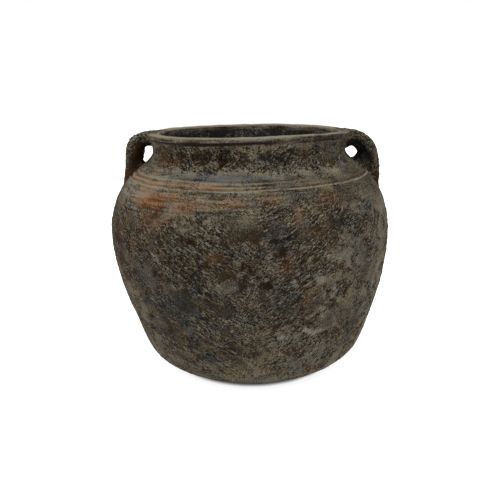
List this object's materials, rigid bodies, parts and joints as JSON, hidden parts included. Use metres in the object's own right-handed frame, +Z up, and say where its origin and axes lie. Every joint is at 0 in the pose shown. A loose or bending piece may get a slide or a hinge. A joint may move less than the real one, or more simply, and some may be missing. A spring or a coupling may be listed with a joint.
{
  "type": "garden pot",
  "caption": "Round earthenware garden pot with a short neck, a rolled rim, cut lines round the shoulder and strap handles from rim to shoulder, open at the top for soil or plants.",
  "frame": {"origin": "centre of the flat underside that the pot stands on", "axes": "+Z up along the pot's axis, +X towards the right handle, -Y towards the viewer of the picture"},
  "size_m": [0.3, 0.3, 0.252],
  "materials": {
    "wall_clay": "weathered, unglazed",
    "inner_clay": "unglazed, dark",
    "handle_clay": "weathered, unglazed",
    "luting_clay": "weathered, unglazed"
  },
  "bodies": {
    "root": {"floor_dish": "inner_clay", "heel_coil": "inner_clay", "heel_ring": "wall_clay", "lower_ring": "wall_clay", "belly_ring": "wall_clay", "upper_ring": "wall_clay", "shoulder_ring": "wall_clay", "neck_collar": "wall_clay", "rim_coil": "wall_clay", "left_handle_strap": "handle_clay", "left_handle_top_luting": "luting_clay", "left_handle_foot_luting": "luting_clay", "right_handle_strap": "handle_clay", "right_handle_top_luting": "luting_clay", "right_handle_foot_luting": "luting_clay"}
  },
  "joints": []
}
